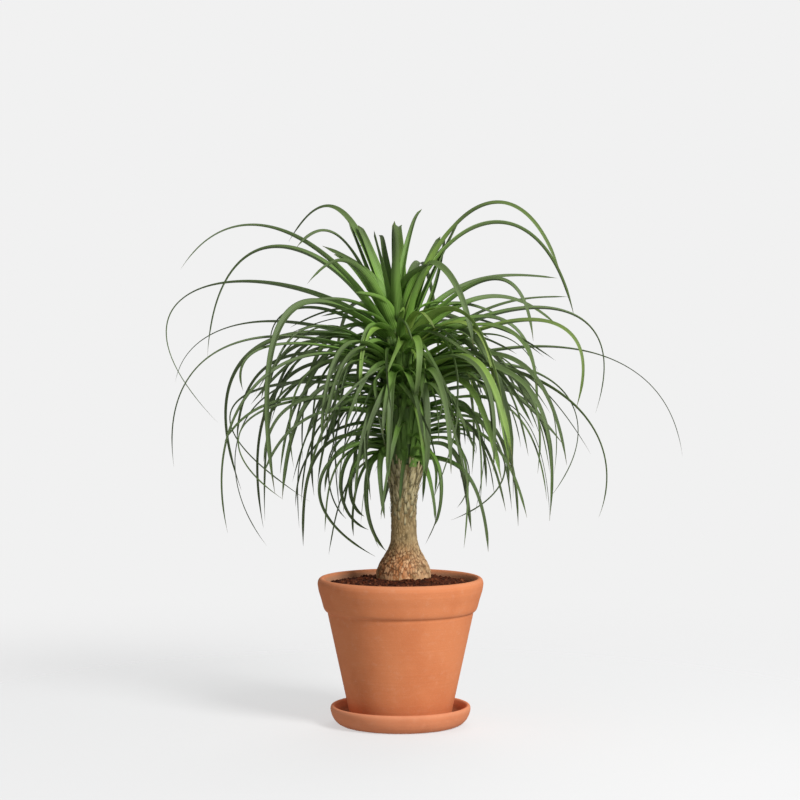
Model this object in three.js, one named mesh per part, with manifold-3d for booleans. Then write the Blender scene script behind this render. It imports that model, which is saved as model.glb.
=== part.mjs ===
// A ponytail palm in a terracotta pot with its drip saucer, as a three.js scene.
//
// Millimetres, +Z up. The origin is the centre of the saucer's flat underside, and the pot, the soil and
// the saucer are turned about the Z axis. The plant stands a little to the +X side of that axis. Someone
// who faces the plant looks along +Y. The five pieces are the saucer, the pot, the soil, the woody trunk
// with its swollen base, and the whole head of leaves on its green growing core.
import * as THREE from "three";
import { mergeVertices } from "three/addons/utils/BufferGeometryUtils.js";
import Module from "manifold-3d";

const wasm = await Module();
wasm.setup();

// ---------------------------------------------------------------- driving dimensions, mm
const TURNED_SIDES = 40; // sides round the pot, the saucer and the soil
const SAUCER_FLOOR = 6; // top of the saucer's floor, where the pot stands
const POT_TOP = 148; // crest of the pot's rim
const POT_FLOOR = 18; // top of the pot's floor
const DRAIN_RADIUS = 10; // drain hole in the pot's floor
const SOIL_GAP = 0.3; // clearance of the soil to the pot's wall and to the trunk
const SOIL_AT_WALL = 140.5; // height of the soil where it meets the pot
const TRUNK_SIDES = 28; // sides round the trunk
const TRUNK_TOP = 262; // flat top of the bark, where the green core goes on
const CROWN_TOP = 404; // tip of the green core
const CORE_SIDES = 10;
const RULE_LEAVES = 66; // leaves set by the spiral rule, besides the long ones listed below
const GOLDEN_ANGLE = 137.508; // degrees from one leaf to the next one up the core
const LEAF_SEED = 21;
const CURTAIN_LEAVES = 5; // leaves that hang close round the core
const CURTAIN_SEED = 31;
const LONG_LEAF_STEPS = 8; // straight steps along a long leaf
const SHORT_LEAF_STEPS = 5; // and along the others

// Outlines to turn, as [radius, height].
const SAUCER_OUTLINE = [
  [0, 0], [59, 0], [63.2, 2], [66.6, 5.4], [68.9, 9.6], [70.2, 13.8], [70.5, 17], [69.7, 19],
  [68.1, 19.7], [66.4, 19], [64.7, 16], [62.2, 10.6], [58.8, 7.2], [55, SAUCER_FLOOR], [0, SAUCER_FLOOR],
];
const POT_OUTLINE = [
  [DRAIN_RADIUS, SAUCER_FLOOR], [48.8, SAUCER_FLOOR], [50.6, 8], [56.2, 34], [72.8, 110.5], [73.2, 113.4],
  [75.6, 114.8], [77.2, 117.6], [79.4, 126], [82.2, 135], [83.3, 142], [82.4, 146], [79.8, POT_TOP],
  [77.4, 147.2], [75.7, 144], [74.6, 134], [66.2, 108], [46.4, POT_FLOOR + 3], [43.6, POT_FLOOR],
  [DRAIN_RADIUS, POT_FLOOR],
];
// The soil follows the inside of the pot at SOIL_GAP and is heaped a little towards the trunk.
const SOIL_OUTLINE = [
  [0, POT_FLOOR], [43, POT_FLOOR], [45.9, POT_FLOOR + 3.2], [65.7, 108], [74.1, 134],
  [75, SOIL_AT_WALL], [69, 141.2], [59, 142.4], [49, 144.1], [38, 146.1], [28, 148], [0, 148.4],
];
// The trunk's radius by height: a rounded base in the soil, the swollen foot, then the slim stem.
const TRUNK_OUTLINE = [
  [108, 0], [109.5, 9], [114, 16.5], [122, 22], [132, 25], [142, 26.8], [148, 27.6], [153, 27.1],
  [157, 25.9], [161, 24.4], [165, 22.2], [169, 19.8], [173, 17.5], [177, 15.5], [181, 14.1], [185, 13.3],
  [190, 12.8], [195, 12.6], [200, 12.5], [205, 12.5], [210, 12.4], [215, 12.4], [220, 12.3],
  [225, 12.4], [230, 12.8], [235, 13.6], [240, 14.5], [245, 15.5], [250, 16.4], [255, 17.0],
  [TRUNK_TOP, 17.2],
];
// How far the stem's centre stands to the +X side at some heights, as [height, offset].
const STEM_LEAN = [
  [100, 3], [155, 3], [180, 3.6], [205, 3.2], [230, 3.2], [TRUNK_TOP, 5.4], [330, 2.5], [CROWN_TOP, -3],
];

// The long leaves at the sides give the head its outline. Each is
// [side, turn, root height, 1 out, 1 up, 2 out, 2 up, tip out, tip up, width, twist].
// The side is -1 for -X or 1 for +X, and the turn swings the leaf back (+) or forward (-) in degrees.
// Out is measured sideways, as seen from in front, so a turned leaf is longer than it looks from there.
// Points 1 and 2 pull the leaf's curve, and the heights are from the ground.
const SIDE_LEAVES = [
  [-1, 35, 385, 32, 488, 64, 572, 114, 486, 8, 0], [-1, -30, 370, 30, 450, 58, 530, 103, 476, 8, 10],
  [-1, 12, 376, 70, 510, 190, 525, 201, 367, 10, 20], [-1, -22, 375, 58, 492, 160, 541, 216, 455, 8, -15],
  [-1, 25, 385, 118, 492, 352, 455, 190, 299, 8, 20], [-1, -15, 378, 76, 410, 216, 414, 154, 238, 11, 30],
  [-1, -35, 380, 80, 460, 160, 446, 126, 240, 10, -10], [-1, 30, 345, 72, 392, 184, 362, 152, 188, 7, 0],
  [-1, 38, 370, 105, 425, 228, 412, 236, 337, 6, 0], [-1, -30, 365, 108, 410, 232, 410, 217, 268, 6, 25],
  [-1, 10, 330, 90, 365, 290, 340, 96, 222, 8, 30], [-1, -25, 318, 88, 350, 236, 320, 122, 232, 7, 0],
  [-1, -35, 305, 56, 336, 110, 321, 132, 258, 8, 15], [-1, 20, 300, 56, 316, 112, 286, 112, 215, 8, 0],
  [-1, -25, 282, 64, 306, 138, 235, 31, 170, 7, 0], [-1, -50, 272, 46, 290, 46, 225, 24, 180, 6, 0],
  [-1, 30, 335, 150, 390, 220, 270, 136, 173, 6, 0], [-1, -38, 350, 108, 420, 190, 330, 167, 205, 6, 0],
  [1, -25, 385, 37, 535, 118, 566, 162, 452, 9, 0], [1, 20, 400, 45, 530, 147, 547, 190, 408, 9, 10],
  [1, -40, 385, 12, 500, 57, 480, 76, 380, 10, 0], [1, 35, 380, 45, 452, 103, 457, 167, 449, 8, 0],
  [1, -12, 380, 50, 440, 124, 494, 132, 385, 10, -20], [1, 45, 365, 50, 405, 106, 435, 166, 430, 8, 0],
  [1, 12, 365, 90, 440, 250, 450, 204, 310, 9, -20], [1, -28, 355, 79, 420, 206, 440, 171, 320, 9, 0],
  [1, 22, 350, 120, 400, 276, 395, 290, 262, 7, -30], [1, -20, 350, 88, 395, 232, 330, 188, 213, 8, 0],
  [1, 30, 340, 112, 400, 240, 330, 146, 221, 7, 0], [1, -35, 370, 49, 440, 105, 390, 105, 265, 11, 0],
  [1, -38, 345, 77, 385, 158, 372, 140, 214, 8, 10], [1, 25, 330, 82, 372, 156, 350, 146, 232, 8, 0],
  [1, -5, 338, 80, 372, 150, 372, 136, 252, 8, -15], [1, 40, 322, 86, 360, 162, 330, 150, 250, 7, 0],
  [1, -25, 290, 49, 322, 99, 300, 122, 213, 7, 0], [1, 30, 298, 50, 330, 106, 320, 114, 236, 8, 0],
  [1, 10, 285, 90, 330, 150, 240, 46, 205, 6, 0], [1, -40, 305, 40, 335, 84, 325, 90, 255, 8, 20],
  [1, 35, 300, 46, 325, 88, 300, 92, 225, 7, 0], [1, -60, 275, 40, 300, 47, 230, 21, 184, 6, 0],
  [-1, 40, 384, 12, 440, 26, 480, 40, 500, 11, 0], [-1, -35, 380, 8, 430, 16, 470, 24, 494, 11, 10],
  [-1, 20, 376, 22, 430, 44, 470, 66, 470, 11, 0], [-1, -45, 382, 20, 440, 48, 500, 92, 440, 9, 0],
  [1, 30, 378, 16, 430, 30, 470, 38, 490, 10, 0], [1, 20, 372, 60, 440, 110, 445, 168, 400, 9, 10],
  [-1, 18, 365, 60, 410, 150, 420, 140, 200, 10, 10], [-1, -30, 350, 50, 385, 128, 380, 104, 262, 8, 0],
];
// Young side leaves that arch over and hang in front of the core, in the same form.
const BRIGHT_LEAVES = [
  [1, -36, 324, 36, 366, 84, 420, 104, 262, 13, 10], [1, -44, 330, 30, 372, 80, 418, 101, 276, 13, -20],
  [1, -30, 318, 34, 352, 88, 408, 108, 284, 12, 25], [1, -50, 366, 24, 424, 76, 462, 92, 318, 11, -10],
  [1, -40, 312, 28, 350, 70, 392, 98, 250, 12, 0], [1, -66, 326, 10, 340, 22, 330, 23, 244, 12, 10],
  [-1, -50, 375, 8, 412, 44, 412, 45, 330, 7, -15], [1, -60, 374, 10, 388, 34, 366, 3, 322, 4, 15],
  [-1, -70, 330, 10, 350, 16, 330, 14, 246, 7, 0],
];
// The leaves that stand up in the middle or arch forwards and backwards, each as
// [turn from +X towards +Y, root height, 1 out, 1 up, 2 out, 2 up, tip out, tip up, width, twist],
// with out measured along the leaf's own turn.
const FACING_LEAVES = [
  [290, 268, 60, 285, 85, 240, 80, 212, 7, 0], [90, 388, 10, 470, 30, 514, 80, 500, 12, 0],
  [130, 380, 30, 440, 45, 490, 62, 480, 8, 0], [108, 386, 25, 440, 45, 495, 72, 492, 8, 0],
  [60, 392, 0, 470, 20, 505, 52, 518, 7, 0], [40, 372, 35, 402, 50, 450, 62, 492, 8, 0],
  [300, 372, 18, 410, 35, 445, 56, 465, 8, 0], [230, 362, 20, 420, 66, 426, 68, 325, 10, 0],
  [285, 375, 40, 410, 110, 390, 60, 320, 9, 0], [260, 345, 50, 375, 85, 350, 80, 250, 10, 0],
  [288, 345, 55, 380, 85, 345, 80, 255, 11, 0], [78, 384, 60, 500, 190, 500, 200, 340, 8, 20],
  [112, 372, 90, 460, 210, 440, 182, 290, 8, -20], [64, 350, 90, 420, 190, 380, 170, 240, 7, 0],
  [128, 330, 80, 390, 180, 340, 150, 220, 7, 15], [238, 352, 70, 410, 150, 400, 140, 285, 8, -15],
  [306, 340, 80, 400, 160, 380, 150, 262, 8, 15], [262, 380, 14, 440, 30, 470, 46, 500, 10, 0],
  [96, 382, 16, 440, 34, 480, 50, 506, 10, 10], [150, 378, 22, 430, 44, 470, 60, 506, 9, 0],
  [24, 380, 30, 440, 52, 486, 66, 508, 9, -10], [255, 340, 16, 372, 26, 344, 24, 256, 6, 0],
];

// ---------------------------------------------------------------- small helpers
const radians = THREE.MathUtils.degToRad;

// Straight-line value at x in a table of [x, value] pairs.
function between(table, x) {
  if (x <= table[0][0]) return table[0][1];
  for (let i = 1; i < table.length; i++) {
    const [x0, y0] = table[i - 1];
    const [x1, y1] = table[i];
    if (x <= x1) return y0 + ((y1 - y0) * (x - x0)) / (x1 - x0);
  }
  return table[table.length - 1][1];
}

// A repeatable row of numbers from 0 to 1.
function draws(seed) {
  let state = seed >>> 0;
  return () => {
    state = (state + 0x6d2b79f5) >>> 0;
    let t = Math.imul(state ^ (state >>> 15), state | 1);
    t ^= t + Math.imul(t ^ (t >>> 7), t | 61);
    return ((t ^ (t >>> 14)) >>> 0) / 4294967296;
  };
}

// A three.js geometry as a solid: shared corners merged and empty triangles dropped.
function solid(geometry) {
  const bare = geometry.clone();
  bare.deleteAttribute("normal");
  bare.deleteAttribute("uv");
  const merged = mergeVertices(bare, 1e-4);
  const index = merged.index.array;
  const kept = [];
  for (let i = 0; i < index.length; i += 3) {
    const [a, b, c] = [index[i], index[i + 1], index[i + 2]];
    if (a !== b && b !== c && c !== a) kept.push(a, b, c);
  }
  return new wasm.Manifold(
    new wasm.Mesh({
      numProp: 3,
      vertProperties: new Float32Array(merged.attributes.position.array),
      triVerts: new Uint32Array(kept),
    }),
  );
}

// A solid as a three.js geometry again. Where joining has closed off a hollow or left a scrap, only the
// largest body is kept, which fills the hollow.
function geometryOf(body) {
  const largest = body.decompose().sort((a, b) => b.volume() - a.volume())[0];
  const mesh = largest.getMesh();
  const geometry = new THREE.BufferGeometry();
  geometry.setAttribute("position", new THREE.BufferAttribute(mesh.vertProperties, 3));
  geometry.setIndex(new THREE.BufferAttribute(mesh.triVerts, 1));
  geometry.computeVertexNormals();
  return geometry;
}

// An outline of [radius, height] points turned about the Z axis.
function turned(outline, sides) {
  const points = outline.map(([r, z]) => new THREE.Vector2(r, z));
  return new THREE.LatheGeometry(points, sides).rotateX(Math.PI / 2);
}

// Moves each corner of a geometry by a rule that takes and changes a vector.
function shaped(geometry, rule) {
  const position = geometry.attributes.position;
  const point = new THREE.Vector3();
  for (let i = 0; i < position.count; i++) {
    point.fromBufferAttribute(position, i);
    rule(point);
    position.setXYZ(i, point.x, point.y, point.z);
  }
  return geometry;
}

function node(name, geometry, colour, roughness) {
  const material = new THREE.MeshStandardMaterial({ color: colour, roughness, metalness: 0 });
  material.flatShading = true;
  const mesh = new THREE.Mesh(geometry, material);
  mesh.name = name;
  return mesh;
}

// ---------------------------------------------------------------- trunk
const stemX = (z) => between(STEM_LEAN, z);

// Corky plates on the swollen foot, finer leaf scars up the stem, and the loose stubs of shed leaves
// under the green head. The rounded base in the soil is smooth.
const BARK_DEPTH = [[150, 0], [156, 0.9], [172, 0.9], [186, 0.45], [235, 0.45], [248, 1.0], [258, 0.5]];
const PLATE_HEIGHT = 5;

function barkRelief(angle, z) {
  const plates = Math.cos((TRUNK_SIDES / 2) * angle) * Math.cos((Math.PI * z) / PLATE_HEIGHT);
  return between(BARK_DEPTH, z) * plates;
}

function trunkGeometry(clearance) {
  const outline = TRUNK_OUTLINE.map(([z, r]) => [r === 0 ? 0 : r + clearance, z]);
  outline[0][1] -= clearance;
  outline.push([0, TRUNK_TOP]);
  return shaped(turned(outline, TRUNK_SIDES), (p) => {
    const r = Math.hypot(p.x, p.y);
    if (r > 1 && clearance === 0) {
      const scale = (r + barkRelief(Math.atan2(p.y, p.x), p.z)) / r;
      p.x *= scale;
      p.y *= scale;
    }
    p.x += stemX(p.z);
  });
}

// ---------------------------------------------------------------- leaves
const FACE_TWIST = 50; // degrees that a side leaf's end turns its upper face to the front

// A side leaf as a facing leaf: its own turn, and its reach along it. Every fourth one is twisted away
// from the front instead.
function sideLeaf([side, turn, root, out1, up1, out2, up2, out3, up3, width, twist], number) {
  const stretch = 1 / Math.cos(radians(turn));
  const heading = side > 0 ? turn : 180 - turn;
  const turning = twist + FACE_TWIST * (number % 4 === 3 ? -side : side);
  const sway = 5 * Math.sin(2.4 * number);
  return [
    heading, root, out1 * stretch, up1, out2 * stretch, up2, out3 * stretch, up3, width, turning, sway,
  ];
}

// A leaf whose curve follows three legs from its root, each as [slope, length].
function path(turn, root, legs, width, twist, sway) {
  const leaf = [turn, root];
  let r = 0;
  let z = root;
  for (const [slope, length] of legs) {
    r += length * Math.cos(radians(slope));
    z += length * Math.sin(radians(slope));
    leaf.push(r, z);
  }
  return [...leaf, width, twist, sway];
}

// The other leaves climb the core in a spiral: the lowest and oldest are short and hang, those half way
// up are the longest, and the youngest stand upright at the top. The low ones are shortest in front of
// the trunk and behind it.
function ruleLeaves() {
  const draw = draws(LEAF_SEED);
  const leaves = [];
  for (let i = 0; i < RULE_LEAVES; i++) {
    const age = (i + 0.5) / RULE_LEAVES;
    const turn = i * GOLDEN_ANGLE + 24 * (draw() - 0.5);
    const root = 268 + 124 * age;
    const toTheSide = Math.abs(Math.cos(radians(turn)));
    const length =
      (95 + 95 * Math.sin(Math.PI * Math.min(1, 0.15 + 0.95 * age))) *
      (0.72 + 0.56 * draw()) *
      (1 - 0.45 * (1 - age) * (1 - toTheSide));
    const launch = 12 + 72 * age ** 1.3 + 26 * (draw() - 0.5);
    const arch = launch - (60 - 34 * age ** 2 + 26 * (draw() - 0.5));
    const fall = Math.max(-88, arch - (70 - 30 * age ** 2 + 30 * (draw() - 0.5)));
    const legs = [[launch, 0.43 * length], [arch, 0.24 * length], [fall, 0.56 * length]];
    const width = 7 + 3.5 * draw();
    const twist = 150 * (draw() - 0.5);
    const sway = 44 * (draw() - 0.5);
    leaves.push(path(turn, root, legs, width, twist, sway));
  }
  return leaves;
}

// Leaves of middle age that bend over close to the core and hang round it.
function curtainLeaves() {
  const draw = draws(CURTAIN_SEED);
  const leaves = [];
  for (let i = 0; i < CURTAIN_LEAVES; i++) {
    const age = (i + 0.5) / CURTAIN_LEAVES;
    const length = 105 + 50 * age + 35 * draw();
    const launch = 30 + 30 * draw();
    const arch = -25 - 30 * draw();
    const legs = [[launch, 0.36 * length], [arch, 0.34 * length], [-85, 0.4 * length]];
    const turn = i * GOLDEN_ANGLE + 30 * draw();
    const width = 6.5 + 3 * draw();
    const twist = 120 * (draw() - 0.5);
    const sway = 70 * (draw() - 0.5);
    leaves.push(path(turn, 312 + 70 * age, legs, width, twist, sway));
  }
  return leaves;
}

// A leaf is a three-sided blade, flat above and keeled below, bent along its curve. It starts on the
// core's axis with its broad root, and its outer half is slim and ends in a point.
const ROOT_WIDTH = 1.35; // of the width that the leaf is listed with
const TIP_WIDTH = 0.38; // of the same, just before the point
const TAPER = 1.5; // how fast it narrows
const KEEL_SHARE = 0.3; // depth of the keel against the width
const KEEL_LEAST = 0.5; // and what is added to it everywhere

// How much broader than listed a leaf is, by its root's height: the upper ones are the broadest.
function stoutness(root) {
  return 0.95 + 0.35 * Math.min(1, Math.max(0, (root - 300) / 90));
}

function leafGeometry([turn, root, r1, z1, r2, z2, r3, z3, width, twist, sway = 0], steps) {
  const at = (r, z, swayed) => {
    const heading = radians(turn + swayed);
    return new THREE.Vector3(stemX(root) + r * Math.cos(heading), r * Math.sin(heading), z);
  };
  const midrib = new THREE.CubicBezierCurve3(
    at(0, root, 0), at(r1, z1, 0), at(r2, z2, 0.4 * sway), at(r3, z3, sway),
  );
  const level = new THREE.Vector3(-Math.sin(radians(turn)), Math.cos(radians(turn)), 0);
  const blade = new THREE.ConeGeometry(1, 1, 3, steps);
  return shaped(blade, (p) => {
    const along = p.y + 0.5;
    const corner = Math.atan2(p.x, p.z); // 0 is the keel, the others the two edges
    const isTip = along > 0.999;
    const isKeel = Math.abs(corner) < 0.1;
    const centre = midrib.getPoint(along);
    if (isTip) {
      p.copy(centre);
      return;
    }
    const tangent = midrib.getTangent(along);
    const side = level.clone().addScaledVector(tangent, -level.dot(tangent)).normalize();
    const across = side.applyAxisAngle(tangent, radians(twist) * along);
    const up = across.clone().cross(tangent).negate();
    const w = width * stoutness(root) * (TIP_WIDTH + (ROOT_WIDTH - TIP_WIDTH) * (1 - along) ** TAPER);
    if (isKeel) p.copy(centre).addScaledVector(up, -(KEEL_SHARE * w + KEEL_LEAST));
    else p.copy(centre).addScaledVector(across, Math.sign(corner) * 0.5 * w);
  });
}

function coreGeometry() {
  const outline = [
    [0, TRUNK_TOP], [17.2, TRUNK_TOP], [17.2, 290], [17, 350], [13.5, 386], [5, 400], [0, CROWN_TOP],
  ];
  return shaped(turned(outline, CORE_SIDES), (p) => {
    p.x += stemX(p.z);
  });
}

function leafCrown() {
  const longLeaves = [...SIDE_LEAVES.map(sideLeaf), ...BRIGHT_LEAVES.map(sideLeaf), ...FACING_LEAVES];
  const longBlades = longLeaves.map((leaf) => solid(leafGeometry(leaf, LONG_LEAF_STEPS)));
  const shortLeaves = [...ruleLeaves(), ...curtainLeaves()];
  const shortBlades = shortLeaves.map((leaf) => solid(leafGeometry(leaf, SHORT_LEAF_STEPS)));
  return geometryOf(wasm.Manifold.union([solid(coreGeometry()), ...longBlades, ...shortBlades]));
}

// ---------------------------------------------------------------- the object
const saucer = geometryOf(solid(turned(SAUCER_OUTLINE, TURNED_SIDES)));
const pot = geometryOf(solid(turned([...POT_OUTLINE, POT_OUTLINE[0]], TURNED_SIDES)));
const trunk = geometryOf(solid(trunkGeometry(0)));

// Crumbs and small heaps on top of the soil, none of them at the wall.
const soilBlock = shaped(turned(SOIL_OUTLINE, TURNED_SIDES), (p) => {
  const r = Math.hypot(p.x, p.y);
  if (p.z > SOIL_AT_WALL && r < 72) {
    p.z += 0.7 * Math.sin(p.x / 4.7) * Math.cos(p.y / 5.3) + 0.5 * Math.sin((p.x + 2 * p.y) / 3.1);
  }
});
const soil = geometryOf(solid(soilBlock).subtract(solid(trunkGeometry(SOIL_GAP))));

const palm = new THREE.Group();
palm.name = "potted_ponytail_palm";
palm.add(
  node("saucer", saucer, 0xcf7d57, 0.85),
  node("pot", pot, 0xd17c52, 0.85),
  node("soil", soil, 0x35190c, 0.95),
  node("trunk", trunk, 0x96754a, 0.9),
  node("leaf_crown", leafCrown(), 0x4f7030, 0.6),
);

export default palm;
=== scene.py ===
"""A ponytail palm in a terracotta pot with its drip saucer, dressed for rendering in Blender."""
import math

import bpy
import numpy as np
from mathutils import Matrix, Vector, noise as cloud


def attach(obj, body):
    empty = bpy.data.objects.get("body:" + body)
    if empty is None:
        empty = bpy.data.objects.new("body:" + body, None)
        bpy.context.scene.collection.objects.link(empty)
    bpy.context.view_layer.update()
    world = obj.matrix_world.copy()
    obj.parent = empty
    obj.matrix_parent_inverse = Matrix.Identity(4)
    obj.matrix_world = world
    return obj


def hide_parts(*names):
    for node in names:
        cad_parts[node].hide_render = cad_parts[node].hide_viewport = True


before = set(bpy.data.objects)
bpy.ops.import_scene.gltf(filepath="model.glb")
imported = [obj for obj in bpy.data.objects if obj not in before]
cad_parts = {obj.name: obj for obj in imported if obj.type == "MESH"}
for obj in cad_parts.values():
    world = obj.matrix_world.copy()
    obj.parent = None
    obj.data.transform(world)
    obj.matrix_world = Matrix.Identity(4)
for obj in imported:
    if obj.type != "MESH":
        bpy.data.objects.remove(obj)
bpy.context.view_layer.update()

MM = 0.001

# ------------------------------------------------------------------ sizes, mm, from the ground up
SAUCER_FLOOR = 6
POT_TOP = 148
POT_FLOOR = 18
DRAIN_RADIUS = 10
SOIL_AT_WALL = 140.5
TRUNK_TOP = 262
CROWN_TOP = 404

# Outlines to turn round the pot's axis, as (radius, height).
SAUCER_OUTLINE = [
    (0, 0), (59, 0), (63.2, 2), (66.6, 5.4), (68.9, 9.6), (70.2, 13.8), (70.5, 17), (69.7, 19),
    (68.1, 19.7), (66.4, 19), (64.7, 16), (62.2, 10.6), (58.8, 7.2), (55, SAUCER_FLOOR), (0, SAUCER_FLOOR),
]
POT_OUTLINE = [
    (DRAIN_RADIUS, SAUCER_FLOOR), (48.8, SAUCER_FLOOR), (50.6, 8), (56.2, 34), (72.8, 110.5), (73.2, 113.4),
    (75.6, 114.8), (77.2, 117.6), (79.4, 126), (82.2, 135), (83.3, 142), (82.4, 146), (79.8, POT_TOP),
    (77.4, 147.2), (75.7, 144), (74.6, 134), (66.2, 108), (46.4, POT_FLOOR + 3), (43.6, POT_FLOOR),
    (DRAIN_RADIUS, POT_FLOOR),
]
SOIL_OUTLINE = [
    (0, POT_FLOOR), (43, POT_FLOOR), (45.9, POT_FLOOR + 3.2), (65.7, 108), (74.1, 134),
    (75, SOIL_AT_WALL), (69, 141.2), (59, 142.4), (49, 144.1), (38, 146.1), (28, 148),
]
# The trunk's thickness, as (height, radius), and how far its centre leans to +X, as (height, lean).
TRUNK_OUTLINE = [
    (108, 0), (109.5, 9), (114, 16.5), (122, 22), (132, 25), (142, 26.8), (148, 27.6), (153, 27.1),
    (157, 25.9), (161, 24.4), (165, 22.2), (169, 19.8), (173, 17.5), (177, 15.5), (181, 14.1), (185, 13.3),
    (190, 12.8), (195, 12.6), (200, 12.5), (205, 12.5), (210, 12.4), (215, 12.4), (220, 12.3),
    (225, 12.4), (230, 12.8), (235, 13.6), (240, 14.5), (245, 15.5), (250, 16.4), (255, 17.0),
    (TRUNK_TOP, 17.2),
]
STEM_LEAN = [
    (100, 3), (155, 3), (180, 3.6), (205, 3.2), (230, 3.2), (TRUNK_TOP, 5.4), (330, 2.5), (CROWN_TOP, -3),
]
# The green core on which the leaves stand, as (radius, height).
CORE_OUTLINE = [
    (0, TRUNK_TOP), (17.2, TRUNK_TOP), (17.2, 290), (17, 350), (13.5, 386), (5, 400), (0, CROWN_TOP),
]

# Side leaves, each as: side, degrees that it turns back, height of its root, out and up of two pulling
# points and of the tip, width, degrees of twist.
SIDE_LEAVES = [
    (-1, 35, 385, 32, 488, 64, 572, 114, 486, 8, 0), (-1, -30, 370, 30, 450, 58, 530, 103, 476, 8, 10),
    (-1, 12, 376, 70, 510, 190, 525, 201, 367, 10, 20), (-1, -22, 375, 58, 492, 160, 541, 216, 455, 8, -15),
    (-1, 25, 385, 118, 492, 352, 455, 190, 299, 8, 20), (-1, -15, 378, 76, 410, 216, 414, 154, 238, 11, 30),
    (-1, -35, 380, 80, 460, 160, 446, 126, 240, 10, -10), (-1, 30, 345, 72, 392, 184, 362, 152, 188, 7, 0),
    (-1, 38, 370, 105, 425, 228, 412, 236, 337, 6, 0), (-1, -30, 365, 108, 410, 232, 410, 217, 268, 6, 25),
    (-1, 10, 330, 90, 365, 290, 340, 96, 222, 8, 30), (-1, -25, 318, 88, 350, 236, 320, 122, 232, 7, 0),
    (-1, -35, 305, 56, 336, 110, 321, 132, 258, 8, 15), (-1, 20, 300, 56, 316, 112, 286, 112, 215, 8, 0),
    (-1, -25, 282, 64, 306, 138, 235, 31, 170, 7, 0), (-1, -50, 272, 46, 290, 46, 225, 24, 180, 6, 0),
    (-1, 30, 335, 150, 390, 220, 270, 136, 173, 6, 0), (-1, -38, 350, 108, 420, 190, 330, 167, 205, 6, 0),
    (1, -25, 385, 37, 535, 118, 566, 162, 452, 9, 0), (1, 20, 400, 45, 530, 147, 547, 190, 408, 9, 10),
    (1, -40, 385, 12, 500, 57, 480, 76, 380, 10, 0), (1, 35, 380, 45, 452, 103, 457, 167, 449, 8, 0),
    (1, -12, 380, 50, 440, 124, 494, 132, 385, 10, -20), (1, 45, 365, 50, 405, 106, 435, 166, 430, 8, 0),
    (1, 12, 365, 90, 440, 250, 450, 204, 310, 9, -20), (1, -28, 355, 79, 420, 206, 440, 171, 320, 9, 0),
    (1, 22, 350, 120, 400, 276, 395, 290, 262, 7, -30), (1, -20, 350, 88, 395, 232, 330, 188, 213, 8, 0),
    (1, 30, 340, 112, 400, 240, 330, 146, 221, 7, 0), (1, -35, 370, 49, 440, 105, 390, 105, 265, 11, 0),
    (1, -38, 345, 77, 385, 158, 372, 140, 214, 8, 10), (1, 25, 330, 82, 372, 156, 350, 146, 232, 8, 0),
    (1, -5, 338, 80, 372, 150, 372, 136, 252, 8, -15), (1, 40, 322, 86, 360, 162, 330, 150, 250, 7, 0),
    (1, -25, 290, 49, 322, 99, 300, 122, 213, 7, 0), (1, 30, 298, 50, 330, 106, 320, 114, 236, 8, 0),
    (1, 10, 285, 90, 330, 150, 240, 46, 205, 6, 0), (1, -40, 305, 40, 335, 84, 325, 90, 255, 8, 20),
    (1, 35, 300, 46, 325, 88, 300, 92, 225, 7, 0), (1, -60, 275, 40, 300, 47, 230, 21, 184, 6, 0),
    (-1, 40, 384, 12, 440, 26, 480, 40, 500, 11, 0), (-1, -35, 380, 8, 430, 16, 470, 24, 494, 11, 10),
    (-1, 20, 376, 22, 430, 44, 470, 66, 470, 11, 0), (-1, -45, 382, 20, 440, 48, 500, 92, 440, 9, 0),
    (1, 30, 378, 16, 430, 30, 470, 38, 490, 10, 0), (1, 20, 372, 60, 440, 110, 445, 168, 400, 9, 10),
    (-1, 18, 365, 60, 410, 150, 420, 140, 200, 10, 10), (-1, -30, 350, 50, 385, 128, 380, 104, 262, 8, 0),
]
# Young side leaves in front of the core, brighter than all others.
BRIGHT_LEAVES = [
    (1, -36, 324, 36, 366, 84, 420, 104, 262, 13, 10), (1, -44, 330, 30, 372, 80, 418, 101, 276, 13, -20),
    (1, -30, 318, 34, 352, 88, 408, 108, 284, 12, 25), (1, -50, 366, 24, 424, 76, 462, 92, 318, 11, -10),
    (1, -40, 312, 28, 350, 70, 392, 98, 250, 12, 0), (1, -66, 326, 10, 340, 22, 330, 23, 244, 12, 10),
    (-1, -50, 375, 8, 412, 44, 412, 45, 330, 7, -15), (1, -60, 374, 10, 388, 34, 366, 3, 322, 4, 15),
    (-1, -70, 330, 10, 350, 16, 330, 14, 246, 7, 0),
]
# Low thin side leaves, whose ends curl back towards the stem.
LOW_LEAVES = [
    (-1, -30, 274, 46, 298, 52, 214, 18, 176, 9, 0), (-1, -20, 280, 66, 318, 84, 214, 38, 196, 8, 0),
    (-1, 25, 285, 80, 330, 98, 232, 62, 204, 8, 0), (-1, 35, 276, 56, 306, 66, 222, 40, 206, 8, 20),
    (-1, -10, 272, 40, 290, 60, 236, 50, 190, 8, 10), (1, -25, 274, 36, 296, 46, 230, 28, 200, 8, 0),
    (1, 30, 280, 60, 312, 84, 244, 56, 214, 7, 0),
]
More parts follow.
